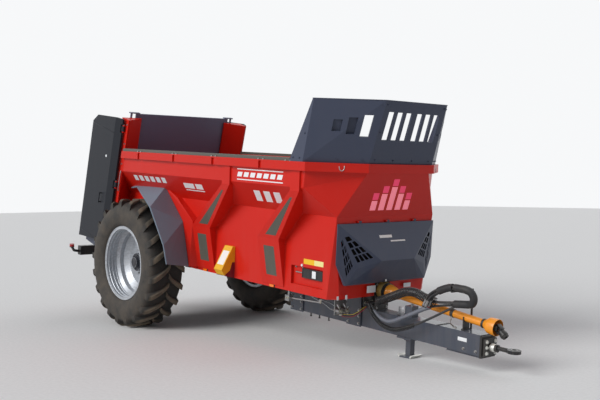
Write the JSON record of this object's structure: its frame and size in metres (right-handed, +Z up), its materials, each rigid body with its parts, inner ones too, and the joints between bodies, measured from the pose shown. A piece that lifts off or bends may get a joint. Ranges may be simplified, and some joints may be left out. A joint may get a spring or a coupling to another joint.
{
  "type": "single-axle manure spreader",
  "caption": "Towed single-axle manure spreader with a long hopper, floor conveyor, lifting rear gate and upright spreading beaters, parked nose down on its jack.",
  "frame": {"origin": "middle of the machine's footprint on the ground it stands on", "axes": "+X forward to the tow eye, +Y to the left, +Z up"},
  "size_m": [7.6313, 2.833, 3.0468],
  "materials": {
    "red_paint": "gloss",
    "grey_paint": "satin",
    "gate_paint": "satin",
    "fender_paint": "satin",
    "black_paint": "satin",
    "bright_steel": "brushed",
    "worn_steel": "dull",
    "rim_silver": "gloss",
    "tyre": "matt",
    "hose": "matt",
    "guard_orange": "satin",
    "lamp_red": "clear",
    "lamp_orange": "clear",
    "chock_yellow": "satin",
    "rail_paint": "satin"
  },
  "bodies": {
    "body": {"chassis": "grey_paint", "axle": "black_paint", "drawbar": "grey_paint", "hitch_plate": "black_paint", "tow_eye": "black_paint", "jack_sleeve": "grey_paint", "floor": "worn_steel", "side_right": "red_paint", "side_left": "red_paint", "front_wall": "red_paint", "ribs_right": "red_paint", "ribs_left": "red_paint", "rim": "red_paint", "top_rails": "rail_paint", "headboard": "grey_paint", "fender_right": "fender_paint", "fender_left": "fender_paint", "rear_posts": "red_paint", "gate_cylinders": "black_paint", "beater_frame": "grey_paint", "beater_gearbox": "black_paint", "driveline": "worn_steel", "conveyor_shafts": "worn_steel", "conveyor_chains": "worn_steel", "conveyor_slats": "worn_steel", "bumper": "black_paint", "marker_arms": "black_paint", "rear_lamps": "lamp_red", "side_lamps": "lamp_orange", "wheel_chock": "chock_yellow", "pto_gearbox": "black_paint", "pto_guard": "guard_orange", "pto_yoke": "black_paint", "pto_holder": "black_paint", "hose_a": "hose", "hose_b": "hose", "hose_c": "hose", "hose_d": "hose", "hose_plugs": "bright_steel", "hose_holder": "black_paint", "valves": "bright_steel", "brake_lever": "bright_steel", "level_window": "black_paint"},
    "wheel_right": {"tyre_right": "tyre", "rim_right": "rim_silver"},
    "wheel_left": {"tyre_left": "tyre", "rim_left": "rim_silver"},
    "jack": {"jack_leg": "grey_paint"},
    "cover": {"front_cover": "grey_paint"},
    "gate_body": {"gate": "gate_paint"},
    "beater_r": {"beater_right": "red_paint"},
    "beater_l": {"beater_left": "red_paint"},
    "door_r": {"door_right": "grey_paint"},
    "door_l": {"door_left": "grey_paint"}
  },
  "joints": [
    {"name": "wheel_right_spin", "type": "hinge", "parent": "body", "child": "wheel_right", "pos_m": [-1.78951, -1.1365, 0.8885], "axis": [0, 1, 0], "continuous": true},
    {"name": "wheel_left_spin", "type": "hinge", "parent": "body", "child": "wheel_left", "pos_m": [-1.78951, 1.1365, 0.8885], "axis": [0, 1, 0], "continuous": true},
    {"name": "jack_slide", "type": "slide", "parent": "body", "child": "jack", "axis": [0.0645, 0, 0.9979], "range_m": [0, 0.16]},
    {"name": "cover_hinge", "type": "hinge", "parent": "body", "child": "cover", "pos_m": [1.99791, 0, 1.53193], "axis": [0, -1, 0], "range_deg": [0, 70]},
    {"name": "gate_slide", "type": "slide", "parent": "body", "child": "gate_body", "axis": [0.2874, 0, 0.9578], "range_m": [0, 1.1]},
    {"name": "beater_right_spin", "type": "hinge", "parent": "body", "child": "beater_r", "pos_m": [-3.19729, -0.5, 1.88972], "axis": [0.2874, 0, 0.9578], "continuous": true},
    {"name": "beater_left_spin", "type": "hinge", "parent": "body", "child": "beater_l", "pos_m": [-3.19729, 0.5, 1.88972], "axis": [0.2874, 0, 0.9578], "continuous": true},
    {"name": "door_right_hinge", "type": "hinge", "parent": "body", "child": "door_r", "pos_m": [-2.50766, -1.076, 1.89162], "axis": [0.2874, 0, 0.9578], "range_deg": [0, 85]},
    {"name": "door_left_hinge", "type": "hinge", "parent": "body", "child": "door_l", "pos_m": [-2.50766, 1.076, 1.89162], "axis": [-0.2874, 0, -0.9578], "range_deg": [0, 85]}
  ],
  "couplings": [
    {"joint": "beater_left_spin", "follows": "beater_right_spin", "ratio": -1}
  ]
}
